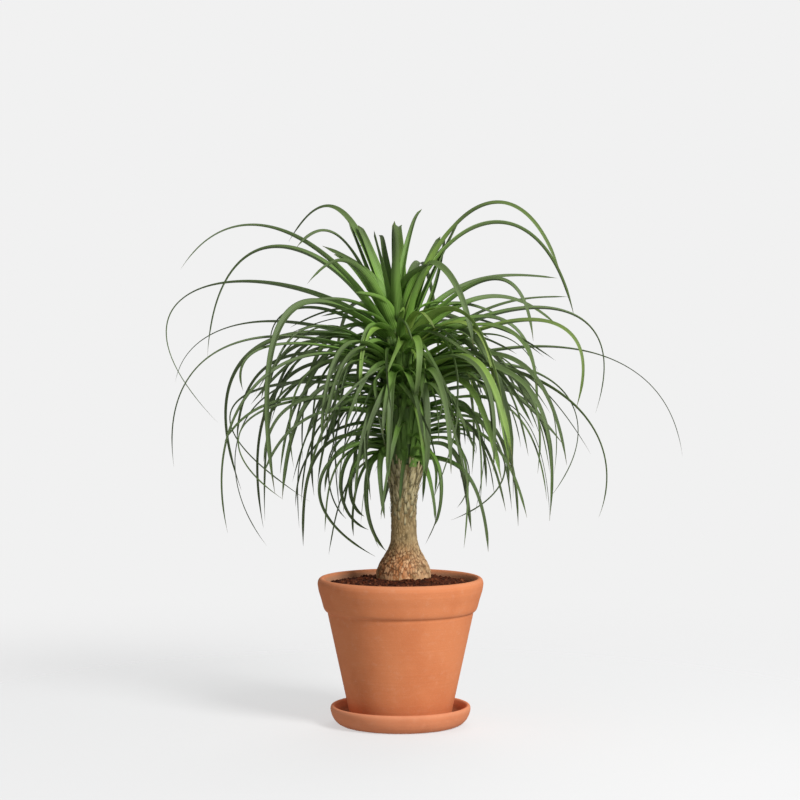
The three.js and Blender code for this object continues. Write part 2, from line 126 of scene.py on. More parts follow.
# Facing leaves, each as: degrees from +X towards +Y, height of its root, the same six numbers, width,
# degrees of twist.
FACING_LEAVES = [
    (290, 268, 60, 285, 85, 240, 80, 212, 7, 0), (90, 388, 10, 470, 30, 514, 80, 500, 12, 0),
    (130, 380, 30, 440, 45, 490, 62, 480, 8, 0), (108, 386, 25, 440, 45, 495, 72, 492, 8, 0),
    (60, 392, 0, 470, 20, 505, 52, 518, 7, 0), (40, 372, 35, 402, 50, 450, 62, 492, 8, 0),
    (300, 372, 18, 410, 35, 445, 56, 465, 8, 0), (230, 362, 20, 420, 66, 426, 68, 325, 10, 0),
    (285, 375, 40, 410, 110, 390, 60, 320, 9, 0), (260, 345, 50, 375, 85, 350, 80, 250, 10, 0),
    (288, 345, 55, 380, 85, 345, 80, 255, 11, 0), (78, 384, 60, 500, 190, 500, 200, 340, 8, 20),
    (112, 372, 90, 460, 210, 440, 182, 290, 8, -20), (64, 350, 90, 420, 190, 380, 170, 240, 7, 0),
    (128, 330, 80, 390, 180, 340, 150, 220, 7, 15), (238, 352, 70, 410, 150, 400, 140, 285, 8, -15),
    (306, 340, 80, 400, 160, 380, 150, 262, 8, 15), (262, 380, 14, 440, 30, 470, 46, 500, 10, 0),
    (96, 382, 16, 440, 34, 480, 50, 506, 10, 10), (150, 378, 22, 430, 44, 470, 60, 506, 9, 0),
    (24, 380, 30, 440, 52, 486, 66, 508, 9, -10), (255, 340, 16, 372, 26, 344, 24, 256, 6, 0),
]
RULE_LEAVES, LEAF_SEED = 66, 21  # the leaves that are set by the spiral rule
GOLDEN_ANGLE = 137.508  # degrees from one leaf to the next one up the core
ROOT_WIDTH, TIP_WIDTH = 1.35, 0.38  # of the width that a leaf is listed with
FACE_TWIST = 50  # degrees that a side leaf's end turns its upper face to the front, every fourth away


# ------------------------------------------------------------------ helpers
def hex_colour(text):
    """An sRGB hex colour as linear red, green, blue and alpha."""
    channels = [int(text[i:i + 2], 16) / 255 for i in (1, 3, 5)]
    return tuple(c / 12.92 if c <= 0.04045 else ((c + 0.055) / 1.055) ** 2.4 for c in channels) + (1.0,)


def add_node(tree, kind, inputs=None, **settings):
    """A node with its settings, and its inputs by name or number as values or as links."""
    node = tree.nodes.new(kind)
    for name, value in settings.items():
        setattr(node, name, value)
    for key, value in (inputs or {}).items():
        if isinstance(value, bpy.types.NodeSocket):
            tree.links.new(value, node.inputs[key])
        else:
            node.inputs[key].default_value = value
    return node


def draws(seed):
    """A repeatable row of numbers from 0 to 1, the same as in the part's source."""
    state = seed
    while True:
        state = (state + 0x6D2B79F5) & 0xFFFFFFFF
        t = ((state ^ (state >> 15)) * (state | 1)) & 0xFFFFFFFF
        t ^= (t + (((t ^ (t >> 7)) * (t | 61)) & 0xFFFFFFFF)) & 0xFFFFFFFF
        yield ((t ^ (t >> 14)) & 0xFFFFFFFF) / 4294967296


def stem_x(z):
    """How far the stem's centre stands to the +X side at a height."""
    return np.interp(z, *zip(*STEM_LEAN))


def placed(name, data):
    """An object in the scene that holds a mesh, a light or a camera."""
    made = bpy.data.objects.new(name, data)
    bpy.context.scene.collection.objects.link(made)
    return made


def make_object(name, vertices, faces):
    """A smooth mesh object, from vertices in metres."""
    mesh = bpy.data.meshes.new(name)
    mesh.from_pydata([tuple(v) for v in vertices], [], faces)
    mesh.update()
    mesh.shade_smooth()
    return placed(name, mesh)


def store(mesh, name, values, kind="FLOAT"):
    """Writes one value, or one vector, for each vertex as a named attribute."""
    layer = mesh.attributes.new(name, kind, "POINT")
    layer.data.foreach_set("vector" if kind == "FLOAT_VECTOR" else "value", np.ravel(values))


TOO_CLOSE = 0.02  # mm, under which two points of an outline are one


def rounded(outline, radius, steps=5):
    """An outline whose corners are short curves, each within radius of its corner, with no points closer
    than TOO_CLOSE."""
    points = [np.array(p, float) for p in outline]
    smooth = [points[0]]
    for before, corner, after in zip(points, points[1:], points[2:]):
        start, end = before - corner, after - corner
        a = corner + start * min(0.5, radius / np.linalg.norm(start))
        b = corner + end * min(0.5, radius / np.linalg.norm(end))
        for t in np.linspace(0, 1, steps):
            smooth.append((1 - t) ** 2 * a + 2 * t * (1 - t) * corner + t * t * b)
    smooth.append(points[-1])
    kept = [smooth[0]]
    for p in smooth[1:]:
        if np.linalg.norm(p - kept[-1]) > TOO_CLOSE:
            kept.append(p)
    return np.array(kept)


def turn_outline(outline, sides, closed=False):
    """Vertices and faces of an outline of (radius, height) turned round Z. A point on the axis becomes
    one pole, and a closed outline joins its end to its start."""
    vertices, rings = [], []
    for r, z in outline:
        if r < 1e-6:
            rings.append([len(vertices)] * sides)
            vertices.append((0, 0, z))
            continue
        rings.append(list(range(len(vertices), len(vertices) + sides)))
        for k in range(sides):
            angle = 2 * math.pi * k / sides
            vertices.append((r * math.cos(angle), r * math.sin(angle), z))
    pairs = list(zip(rings, rings[1:]))
    if closed:
        pairs.append((rings[-1], rings[0]))
    faces = []
    for low, high in pairs:
        for k in range(sides):
            n = (k + 1) % sides
            face = [low[k], low[n], high[n], high[k]]
            faces.append([v for i, v in enumerate(face) if v not in face[:i]])
    return np.array(vertices, float), faces


# ------------------------------------------------------------------ materials
def new_material(name):
    """An empty material, with its tree, its Principled shader and its Object coordinates."""
    made = bpy.data.materials.new(name)
    made.use_nodes = True
    tree = made.node_tree
    tree.nodes.clear()
    shader = add_node(tree, "ShaderNodeBsdfPrincipled")
    add_node(tree, "ShaderNodeOutputMaterial", {"Surface": shader.outputs["BSDF"]})
    place = add_node(tree, "ShaderNodeTexCoord").outputs["Object"]
    return made, tree, shader, place


def mottle(tree, place, wide, tall=None, detail=4.0, rough=0.6):
    """A cloudy pattern whose clouds are wide mm across and tall mm high."""
    stretch = (1 / (wide * MM), 1 / (wide * MM), 1 / ((tall or wide) * MM))
    spot = add_node(tree, "ShaderNodeMapping", {"Vector": place, "Scale": stretch}).outputs[0]
    inputs = {"Vector": spot, "Scale": 1.0, "Detail": detail, "Roughness": rough}
    return add_node(tree, "ShaderNodeTexNoise", inputs).outputs["Fac"]


def layered(tree, base, *layers):
    """A colour with layers over it, each as (pattern, value where it begins to show, value where it
    shows in full, strength, colour)."""
    colour = hex_colour(base)
    for pattern, begins, full, strength, over in layers:
        cover = add_node(tree, "ShaderNodeMapRange", {
            "Value": pattern, "From Min": begins, "From Max": full, "To Max": strength,
        }, interpolation_type="SMOOTHSTEP").outputs[0]
        inputs = {0: cover, 6: colour, 7: hex_colour(over)}
        colour = add_node(tree, "ShaderNodeMix", inputs, data_type="RGBA").outputs[2]
    return colour


def raised(tree, shader, *reliefs):
    """Stacks bumps on a shader, each as (pattern, depth in mm)."""
    normal = None
    for pattern, depth in reliefs:
        inputs = {"Height": pattern, "Distance": depth * MM}
        if normal is not None:
            inputs["Normal"] = normal
        normal = add_node(tree, "ShaderNodeBump", inputs).outputs["Normal"]
    tree.links.new(normal, shader.inputs["Normal"])


def fired_clay(name, body, deep, stain_and_shade_colour):
    """Unglazed terracotta, turned on a wheel and fired. It looks dry and chalky: a sandy grain, soft
    clouds from the kiln, very fine turning lines, a colour laid over its inside, and edges painted
    paler, partly as rubbed wear and partly as a painted highlight. Inside, the pot gets a pale mineral
    stain and the saucer gets painted shade."""
    made, tree, shader, place = new_material(name)
    # Edges: convex edges painted paler, partly rubbed wear and partly a painted highlight.
    edge = add_node(tree, "ShaderNodeAttribute", attribute_name="edge").outputs["Fac"]
    # The colour laid over the inside: a pale mineral stain on the pot's inner rim, and painted shade on the
    # saucer's floor and inner wall round the pot's foot.
    stain_and_shade = add_node(tree, "ShaderNodeAttribute", attribute_name="stain_and_shade").outputs["Fac"]
    kiln = mottle(tree, place, 46, 60)
    salts = mottle(tree, place, 9, 7, 6, 0.7)
    grain = mottle(tree, place, 0.9, detail=2)  # real grog is half as coarse
    lines = mottle(tree, place, 140, 1.6, 2)
    tree.links.new(layered(
        tree, body, (kiln, 0.4, 0.68, 0.55, deep), (lines, 0.5, 0.72, 0.12, deep),
        (salts, 0.5, 0.8, 0.22, "#e6b292"), (stain_and_shade, 0.2, 1.0, 0.6, stain_and_shade_colour),
        (edge, 0.3, 1.0, 0.12, "#e6b292"), (grain, 0.5, 0.8, 0.2, "#e9b594"),
    ), shader.inputs["Base Color"])
    shader.inputs["Roughness"].default_value = 0.86
    shader.inputs["Specular IOR Level"].default_value = 0.3
    raised(tree, shader, (grain, 0.1), (lines, 0.16), (salts, 0.12))
    return made


def potting_soil():
    """Moist peat with bark fines: nearly black in its hollows, red brown on its crumbs, with no shine."""
    made, tree, shader, place = new_material("moist_potting_mix")
    kind = add_node(tree, "ShaderNodeAttribute", attribute_name="kind").outputs["Fac"]
    clods = mottle(tree, place, 5, detail=5)
    fines = mottle(tree, place, 1.1, detail=3)
    tree.links.new(layered(
        tree, "#2c1107", (clods, 0.35, 0.7, 1.0, "#602c15"), (kind, 0.6, 1.0, 0.8, "#885033"),
        (fines, 0.5, 0.8, 0.5, "#8a5a3c"),
    ), shader.inputs["Base Color"])
    shader.inputs["Roughness"].default_value = 0.95
    shader.inputs["Specular IOR Level"].default_value = 0.2
    raised(tree, shader, (clods, 1.0), (fines, 0.5))
    return made


def corky_bark():
    """Living cork. The swollen foot has dry warm plates with dark cracks between them, and the stem
    above is smoother and olive, with the fine scars of its shed leaves. As painted light and shade, its
    +X side, towards the key light, is painted paler and its -X side darker."""
    made, tree, shader, place = new_material("corky_bark")
    parts = add_node(tree, "ShaderNodeSeparateXYZ", {0: place}).outputs
    height, painted_light_side = parts["Z"], parts["X"]
    crack = add_node(tree, "ShaderNodeAttribute", attribute_name="crack").outputs["Fac"]
    plate = add_node(tree, "ShaderNodeAttribute", attribute_name="plate").outputs["Fac"]
    stains = mottle(tree, place, 6, 13, 5)
    flecks = mottle(tree, place, 1.6, 4.2, 3, 0.7)
    # Heights and distances along X, towards the side painted as lit, are in metres here, as Object
    # coordinates are.
    tree.links.new(layered(
        tree, "#c07c4c", (plate, 0.25, 0.9, 0.8, "#eebb8c"),
        (height, 0.158, 0.19, 0.85, "#a9966a"), (height, 0.2, 0.25, 0.7, "#9d9668"),
        # Painted light and shade: paler towards +X, where the key light falls, and darker towards -X.
        (painted_light_side, 0.004, 0.02, 0.45, "#cdb78f"), (painted_light_side, 0.0, -0.02, 0.45, "#54402a"),
        (stains, 0.48, 0.66, 0.6, "#5f5030"), (flecks, 0.54, 0.72, 0.6, "#e2cda2"),
        (crack, 0.15, 0.9, 0.7, "#54331c"),
    ), shader.inputs["Base Color"])
    shader.inputs["Roughness"].default_value = 0.9
    shader.inputs["Specular IOR Level"].default_value = 0.22
    raised(tree, shader, (flecks, 0.4), (stains, 0.4))
    return made


def strap_leaf():
    """A living, slightly waxy strap leaf. Fine veins run its whole length. Young ones are yellow green
    and old ones deep green; the tint also holds painted light, yellower on the side towards the key
    light, and painted shade, darker on low leaves. The root is pale, and the thin end darkens and dries."""
    made, tree, shader, place = new_material("waxy_strap_leaf")
    along = add_node(tree, "ShaderNodeAttribute", attribute_name="along").outputs["Fac"]
    across = add_node(tree, "ShaderNodeAttribute", attribute_name="across").outputs["Fac"]
    tint = add_node(tree, "ShaderNodeAttribute", attribute_name="tint").outputs["Fac"]
    dark = add_node(tree, "ShaderNodeAttribute", attribute_name="dark").outputs["Fac"]
    # Real veins lie 0.4 mm apart. Nine across the leaf are as fine as still shows. Across runs from -1
    # to 1, so they are nine waves of a sine over a width of 2.
    row = add_node(tree, "ShaderNodeMath", {0: across, 1: 28.0}, operation="MULTIPLY").outputs[0]
    veins = add_node(tree, "ShaderNodeMath", {0: row}, operation="SINE").outputs[0]
    sun = mottle(tree, place, 26, detail=3)
    # The tint is partly painted light and shade, set on each rib.
    tree.links.new(layered(
        tree, "#466a1e", (tint, 0.0, 0.6, 1.0, "#73a03a"), (tint, 0.6, 1.1, 1.0, "#aec95a"),
        (sun, 0.4, 0.7, 0.3, "#42631f"), (veins, -0.6, 1.0, 0.3, "#a5c070"),
        (dark, 0.0, 1.0, 0.8, "#5c6946"), (along, 0.12, 0.0, 0.15, "#bcc486"),
        (along, 0.96, 1.0, 0.6, "#7d6a45"),
    ), shader.inputs["Base Color"])
    shader.inputs["Roughness"].default_value = 0.5
    shader.inputs["Specular IOR Level"].default_value = 0.45
    raised(tree, shader, (veins, 0.08))
    return made


def dry_leaf_base():
    """The papery stub that a shed leaf leaves on the stem: straw coloured, matt and fibrous."""
    made, tree, shader, place = new_material("papery_leaf_base")
    along = add_node(tree, "ShaderNodeAttribute", attribute_name="along").outputs["Fac"]
    tint = add_node(tree, "ShaderNodeAttribute", attribute_name="tint").outputs["Fac"]
    fibres = mottle(tree, place, 0.9, 8, 3, 0.7)
    # The tint is partly painted light: bases towards the key light are paler.
    tree.links.new(layered(
        tree, "#8c8050", (tint, 0.1, 0.8, 1.0, "#cdbb88"), (fibres, 0.35, 0.7, 0.6, "#eadfb8"),
        (along, 0.5, 0.0, 0.75, "#4a4122"), (along, 0.85, 1.0, 0.4, "#6b4c2c"),
    ), shader.inputs["Base Color"])
    shader.inputs["Roughness"].default_value = 0.75
    raised(tree, shader, (fibres, 0.3))
    return made


def pale_floor():
    """Seamless studio paper that lets the background through, and fades into it far from the plant."""
    made, tree, shader, place = new_material("studio_paper")
    shader.inputs["Base Color"].default_value = hex_colour("#f4f4f4")
    shader.inputs["Roughness"].default_value = 1.0
    shader.inputs["Specular IOR Level"].default_value = 0.0
    distance = add_node(tree, "ShaderNodeVectorMath", {0: place}, operation="LENGTH").outputs["Value"]
    clear = add_node(tree, "ShaderNodeBsdfTransparent").outputs[0]
    fade = add_node(tree, "ShaderNodeMapRange", {
        "Value": distance, "From Min": 0.15, "From Max": 1.1, "To Min": 0.6,
    }, interpolation_type="SMOOTHSTEP").outputs[0]
    mixed = add_node(tree, "ShaderNodeMixShader", {0: fade, 1: shader.outputs[0], 2: clear}).outputs[0]
    tree.links.new(mixed, tree.get_output_node("CYCLES").inputs["Surface"])
    return made


# Inside colours: the pot's pale grey one is a mineral stain, and the saucer's dark brown one is painted
# shade round the pot's foot.
POT_CLAY = fired_clay("terracotta_pot", "#db8656", "#cd7546", "#b59478")
SAUCER_CLAY = fired_clay("terracotta_saucer", "#df8c61", "#cd7b52", "#7d4a2c")
SOIL = potting_soil()
BARK = corky_bark()
LEAF = strap_leaf()
DRY_BASE = dry_leaf_base()


# ------------------------------------------------------------------ pot and saucer
EDGE_SPREAD = 1.6  # mm that the paleness of the edges, rubbed wear and painted highlight, reaches along the clay from an edge
SHARP_TURN = 0.22  # radians for each mm of outline, where an edge is painted palest


def worn_and_highlit_edges(profile):
    """How much each point of an outline lies on an outer edge, from 0 to 1."""
    steps = np.diff(profile, axis=0)
    lengths = np.linalg.norm(steps, axis=1)
    place = np.concatenate([[0], np.cumsum(lengths)])
    before, after = steps[:-1], steps[1:]
    turns = np.arctan2(before[:, 0] * after[:, 1] - before[:, 1] * after[:, 0], (before * after).sum(1))
    edge = np.zeros(len(profile))
    for here, turn in zip(place[1:-1], turns):
        edge += turn * np.exp(-((place - here) / EDGE_SPREAD) ** 2)
    return np.clip(edge / (EDGE_SPREAD * math.sqrt(math.pi)) / SHARP_TURN, 0, 1)


def turned_piece(name, outline, sides, material, stain_and_shade_heights, closed=False, corner=1.6):
    """A wheel-turned piece as one smooth closed body, with its edges painted paler, partly as rubbed wear
    and partly as a painted highlight. The list of heights says how strongly the colour laid over its
    inside shows, from 0 to 1, as (height, strength)."""
    profile = rounded(list(outline) + ([outline[0]] if closed else []), corner)
    edge = worn_and_highlit_edges(profile)
    if closed:
        profile, edge = profile[:-1], edge[:-1]
    vertices, faces = turn_outline(profile * MM, sides, closed)
    made = make_object(name, vertices, faces)
    radius = np.hypot(vertices[:, 0], vertices[:, 1])
    rows = np.argmin(np.hypot(
        radius[:, None] - profile[None, :, 0] * MM, vertices[:, 2, None] - profile[None, :, 1] * MM), axis=1)
    inward = rows > np.argmax(profile[:, 1])
    heights = vertices[:, 2] / MM
    store(made.data, "edge", edge[rows])
    store(made.data, "stain_and_shade", np.where(inward, np.interp(heights, *zip(*stain_and_shade_heights)), 0))
    made.data.materials.append(material)
    return made


SAUCER_SIDES, POT_SIDES = 160, 176
# Painted shade: the saucer's inside is painted darker towards its floor, round the pot's foot.
saucer = turned_piece(
    "drip_saucer", SAUCER_OUTLINE, SAUCER_SIDES, SAUCER_CLAY, [(6, 1), (12, 0.7), (17, 0.1)])
pot = turned_piece(
    "flower_pot", POT_OUTLINE, POT_SIDES, POT_CLAY, [(140, 1), (144, 0.8), (147, 0.2)], closed=True)


# ------------------------------------------------------------------ trunk
PLATE_WIDE, PLATE_TALL = 2.6, 8.0  # mm, the bark's corky plates
CRACK_REACH = 0.3  # of a plate's width, from a crack's middle to the plate's flat top
BARK_DEPTH = [(150, 0.2), (154, 1.1), (172, 1.0), (186, 0.5), (262, 0.5)]  # (height, mm of relief)
BARK_BEGINS = 146  # mm, just under the soil's surface
BARK_STEP = 0.6  # mm between the bark's rows of points
BURIED_ROWS = 24  # rows of points from the foot up to there
BARK_SIDES = 240


def bark_at(x, y, z):
    """How far the bark stands out in mm, how deep in a crack it is, and its own plate's shade."""
    waver = 0.8 * cloud.noise((x / 4, y / 4, z / 4))
    distances, centres = cloud.voronoi(((x + waver) / PLATE_WIDE, y / PLATE_WIDE, (z + waver) / PLATE_TALL))
    crack = 1 - np.clip((distances[1] - distances[0]) / CRACK_REACH, 0, 1)
    shade = 0.5 + 0.5 * cloud.cell(centres[0] * 7.3)
    depth = np.interp(z, *zip(*BARK_DEPTH))
    grain = cloud.noise((x / 1.2, y / 1.2, z / 2))
    return depth * (0.25 + 0.45 * shade + 0.25 * grain - 1.1 * crack ** 2), crack * min(1, depth), shade


def make_trunk():
    """The stem with its swollen foot. Its bark stands out in plates above the soil."""
    heights, radii = zip(*TRUNK_OUTLINE)
    buried = np.linspace(heights[0], BARK_BEGINS, BURIED_ROWS)[:-1]
    rows = np.concatenate([buried, np.arange(BARK_BEGINS, TRUNK_TOP, BARK_STEP)])
    outline = [(np.interp(z, heights, radii), z) for z in rows] + [(radii[-1], TRUNK_TOP), (0, TRUNK_TOP)]
    vertices, faces = turn_outline(outline, BARK_SIDES)
    cracks, shades = np.zeros(len(vertices)), np.zeros(len(vertices))
    for i, (x, y, z) in enumerate(vertices):
        r = math.hypot(x, y)
        if z > BARK_BEGINS and r > 5:
            relief, cracks[i], shades[i] = bark_at(x, y, z)
            vertices[i][:2] *= (r + relief) / r
    vertices[:, 0] += stem_x(vertices[:, 2])
    made = make_object("trunk_bark", vertices * MM, faces)
    store(made.data, "crack", cracks)
    store(made.data, "plate", shades)
    made.data.materials.append(BARK)
    return made


trunk = make_trunk()


# ------------------------------------------------------------------ what grows or lies in repeats
def new_tree(name, **sockets):
    """A Geometry Nodes tree with named inputs, its group input and its group output."""
    tree = bpy.data.node_groups.new(name, "GeometryNodeTree")
    tree.interface.new_socket("Geometry", in_out="INPUT", socket_type="NodeSocketGeometry")
    for label, kind in sockets.items():
        tree.interface.new_socket(label, in_out="INPUT", socket_type="NodeSocket" + kind)
    tree.interface.new_socket("Geometry", in_out="OUTPUT", socket_type="NodeSocketGeometry")
    return tree, add_node(tree, "NodeGroupInput").outputs, add_node(tree, "NodeGroupOutput").inputs


def grown(base, name, tree, **values):
    """The plain mesh that a Geometry Nodes tree grows on a base object."""
    modifier = base.modifiers.new(tree.name, "NODES")
    modifier.node_group = tree
    for item in tree.interface.items_tree:
        if item.in_out == "INPUT" and item.name in values:
            modifier[item.identifier] = values[item.name]
    graph = bpy.context.evaluated_depsgraph_get()
    mesh = bpy.data.meshes.new_from_object(base.evaluated_get(graph))
    base.modifiers.remove(modifier)
    mesh.name = name
    return placed(name, mesh)


def finished(tree, geometry, material, result):
    """Ends a tree with Realize Instances and Set Material."""
    joined = add_node(tree, "GeometryNodeRealizeInstances", {"Geometry": geometry}).outputs[0]
    painted = add_node(tree, "GeometryNodeSetMaterial", {"Geometry": joined, "Material": material})
    tree.links.new(painted.outputs["Geometry"], result["Geometry"])
    return tree


def crumb_tree():
    """Crumbs of bark and peat, scattered over the soil's top and half sunk in it."""
    tree, given, result = new_tree(
        "soil crumbs", Density="Float", Smallest="Float", Largest="Float", Seed="Int", Material="Material")
    top = add_node(tree, "GeometryNodeInputNamedAttribute", {"Name": "top"}, data_type="FLOAT")
    points = add_node(tree, "GeometryNodeDistributePointsOnFaces", {
        "Mesh": given["Geometry"], "Selection": top.outputs["Attribute"],
        "Density": given["Density"], "Seed": given["Seed"],
    }, distribute_method="RANDOM")
    ball = add_node(tree, "GeometryNodeMeshIcoSphere", {"Radius": 1.0, "Subdivisions": 2})
    lumps = add_node(tree, "ShaderNodeTexNoise", {"Scale": 0.9, "Detail": 2.0})
    push = add_node(tree, "ShaderNodeVectorMath", {
        0: lumps.outputs["Color"], 1: (1.4, 1.4, 1.4), 2: (-0.7, -0.7, -0.7)}, operation="MULTIPLY_ADD")
    chunk = add_node(tree, "GeometryNodeSetPosition", {
        "Geometry": ball.outputs["Mesh"], "Offset": push.outputs[0]})
    lie = add_node(tree, "FunctionNodeRandomValue", {
        "Max": (6.28, 6.28, 6.28), "Seed": 3}, data_type="FLOAT_VECTOR")
    shape = add_node(tree, "FunctionNodeRandomValue", {
        "Min": (0.5, 0.4, 0.35), "Max": (1.0, 0.8, 0.6), "Seed": 5}, data_type="FLOAT_VECTOR")
    chance = add_node(tree, "FunctionNodeRandomValue", {"Seed": 7}, data_type="FLOAT")
    mostly_small = add_node(tree, "ShaderNodeMath", {0: chance.outputs[1], 1: 2.6}, operation="POWER")
    length = add_node(tree, "ShaderNodeMapRange", {
        "Value": mostly_small.outputs[0], "To Min": given["Smallest"], "To Max": given["Largest"]})
    size = add_node(tree, "ShaderNodeVectorMath", {
        0: shape.outputs[0], "Scale": length.outputs[0]}, operation="SCALE")
    crumbs = add_node(tree, "GeometryNodeInstanceOnPoints", {
        "Points": points.outputs["Points"], "Instance": chunk.outputs["Geometry"],
        "Rotation": lie.outputs[0], "Scale": size.outputs[0],
    })
    kind = add_node(tree, "FunctionNodeRandomValue", {"Seed": 11}, data_type="FLOAT")
    marked = add_node(tree, "GeometryNodeStoreNamedAttribute", {
        "Geometry": crumbs.outputs["Instances"], "Name": "kind", "Value": kind.outputs[1],
    }, data_type="FLOAT", domain="INSTANCE")
    return finished(tree, marked.outputs["Geometry"], given["Material"], result)


def strap_tree():
    """Sweeps a channelled strap along each midrib, as wide as the midrib's own width says. Keel is how
    deep the channel is, and Thickness how thick the strap, both as a share of its width."""
    tree, given, result = new_tree(
        "straps", Keel="Float", Thickness="Float", Points="Int", Material="Material")
    ribs = add_node(tree, "GeometryNodeMeshToCurve", {"Mesh": given["Geometry"]})
    up = add_node(tree, "GeometryNodeInputNamedAttribute", {"Name": "up"}, data_type="FLOAT_VECTOR")
    rails = add_node(tree, "GeometryNodeSetCurveNormal", {
        "Curve": ribs.outputs["Curve"], "Normal": up.outputs["Attribute"]}, mode="FREE")
    circle = add_node(tree, "GeometryNodeCurvePrimitiveCircle", {"Resolution": given["Points"]})
    place = add_node(tree, "GeometryNodeInputPosition").outputs[0]
    parts = add_node(tree, "ShaderNodeSeparateXYZ", {0: place}).outputs
    marked = add_node(tree, "GeometryNodeStoreNamedAttribute", {
        "Geometry": circle.outputs["Curve"], "Name": "across", "Value": parts["X"],
    }, data_type="FLOAT", domain="POINT")
    reach = add_node(tree, "ShaderNodeMath", {0: parts["X"]}, operation="ABSOLUTE").outputs[0]
    fold = add_node(tree, "ShaderNodeMath", {0: reach, 1: 1.0}, operation="SUBTRACT").outputs[0]
    sunk = add_node(tree, "ShaderNodeMath", {0: fold, 1: given["Keel"]}, operation="MULTIPLY").outputs[0]
    half_thick = add_node(tree, "ShaderNodeMath", {0: given["Thickness"], 1: 0.5}, operation="MULTIPLY")
    height = add_node(tree, "ShaderNodeMath", {
        0: parts["Y"], 1: half_thick.outputs[0], 2: sunk}, operation="MULTIPLY_ADD").outputs[0]
    half_wide = add_node(tree, "ShaderNodeMath", {0: parts["X"], 1: 0.5}, operation="MULTIPLY").outputs[0]
    spot = add_node(tree, "ShaderNodeCombineXYZ", {"X": height, "Y": half_wide}).outputs[0]
    section = add_node(tree, "GeometryNodeSetPosition", {
        "Geometry": marked.outputs["Geometry"], "Position": spot})
    width = add_node(tree, "GeometryNodeInputNamedAttribute", {"Name": "width"}, data_type="FLOAT")
    straps = add_node(tree, "GeometryNodeCurveToMesh", {
        "Curve": rails.outputs["Curve"], "Profile Curve": section.outputs["Geometry"],
        "Scale": width.outputs["Attribute"], "Fill Caps": True,
    })
    smooth = add_node(tree, "GeometryNodeSetShadeSmooth", {"Geometry": straps.outputs["Mesh"]}).outputs[0]
    return finished(tree, smooth, given["Material"], result)


STRAPS = strap_tree()


def swept(name, ribs, material, keel, thickness, points=12):
    """One body of straps, each drawn with so many points round it. Each rib is (points, ups, widths,
    along, tint, dark), in mm."""
    spots, edges, ups, widths, alongs, tints, darks = [], [], [], [], [], [], []
    for rib_points, rib_ups, rib_widths, along, tint, dark in ribs:
        first = len(spots)
        spots.extend(rib_points * MM)
        edges.extend((first + i, first + i + 1) for i in range(len(rib_points) - 1))
        ups.extend(rib_ups)
        widths.extend(rib_widths * MM)
        alongs.extend(along)
        tints.extend([tint] * len(rib_points))
        darks.extend(dark)
    mesh = bpy.data.meshes.new(name + "_ribs")
    mesh.from_pydata([tuple(spot) for spot in spots], edges, [])
    store(mesh, "up", ups, "FLOAT_VECTOR")
    for label, values in [("width", widths), ("along", alongs), ("tint", tints), ("dark", darks)]:
        store(mesh, label, values)
    base = placed(name + "_ribs", mesh)
    made = grown(base, name, STRAPS, Keel=keel, Thickness=thickness, Points=points, Material=material)
    bpy.data.objects.remove(base)
    return made


# ------------------------------------------------------------------ soil
SOIL_GAP = 0.3  # mm between the trunk and the wall and floor of its hole
SOIL_RIM, HOLE_RIM = 75, 27.8  # mm, radii between which the soil's top lies
SOIL_RINGS, SOIL_SIDES = 34, 150


def make_soil():
    """The soil body with its hole for the plant, and a rough top."""
    rim, hole = SOIL_RIM, HOLE_RIM
    radii, heights = zip(*reversed(SOIL_OUTLINE[5:]))
    top = [(r, np.interp(r, radii, heights)) for r in np.linspace(rim, hole, SOIL_RINGS)]
    hole_wall = [(r + SOIL_GAP, z) for z, r in reversed(TRUNK_OUTLINE[1:6])]
    hole_floor = (0, TRUNK_OUTLINE[0][0] - SOIL_GAP)
    vertices, faces = turn_outline(SOIL_OUTLINE[:5] + top + hole_wall + [hole_floor], SOIL_SIDES)
    on_top = np.zeros(len(vertices))
    for i, (x, y, z) in enumerate(vertices):
        r = math.hypot(x, y)
        surface = r > hole - 0.1 and z > SOIL_AT_WALL - 0.3
        if surface and r < rim - 0.5:
            z += 0.7 * math.sin(x / 4.7) * math.cos(y / 5.3) + 0.5 * math.sin((x + 2 * y) / 3.1)
            z += 0.6 * cloud.noise((x / 6, y / 6, 0)) + 0.4 * cloud.noise((x / 2.4, y / 2.4, 9))
            vertices[i][2] = z
        if surface and r < rim - 2.5:
            on_top[i] = 1
        if z > TRUNK_OUTLINE[0][0] - 1 and r < rim - 1:
            # The hole stands under the stem, and the top is drawn over to it more and more from its rim.
            share = min(1, (rim - r) / (rim - hole)) if r > hole else 1
            vertices[i][0] += stem_x(BARK_BEGINS) * share
    made = make_object("potting_soil", vertices * MM, faces)
    store(made.data, "top", on_top)
    made.data.materials.append(SOIL)
    return made


soil = make_soil()
crumbs = grown(
    soil, "soil_crumbs", crumb_tree(), Density=110000.0, Smallest=0.5 * MM, Largest=2.9 * MM, Seed=4,
    Material=SOIL)


# ------------------------------------------------------------------ leaves
STRAP_KEEL, STRAP_THICK = 0.33, 0.07  # of a leaf's width
FRESH_LENGTH, DARKENING_LENGTH = 40, 80  # mm of a leaf that is fresh green, and in which it darkens
SLIM_BEYOND = 130  # mm out from the core or above it, past which the ends of leaves get slimmer still
SLIM_LENGTH, SLIMMEST = 100, 0.45  # mm in which they get slimmer, and the share of width they lose by then
POINT = 0.07  # of a leaf's length, in which it runs out to its pointed end
LOWEST_TIP = 166  # mm above the ground, where the thin leaves end at the latest
STEM_CLEARANCE = 18  # mm to each side of the stem's centre that the thin leaves leave open
IN_FRONT = -14  # mm along Y, and what lies nearer to the viewer is in front of the stem
ROOTS_SPAN = 140  # mm of the core on which leaves stand
PAINTED_LIGHT_SIDE = 315  # degrees from +X, the side towards the key light, where leaves are painted yellower as painted light
TAPER = 1.5  # how fast a leaf narrows from its broad root to its slim outer half
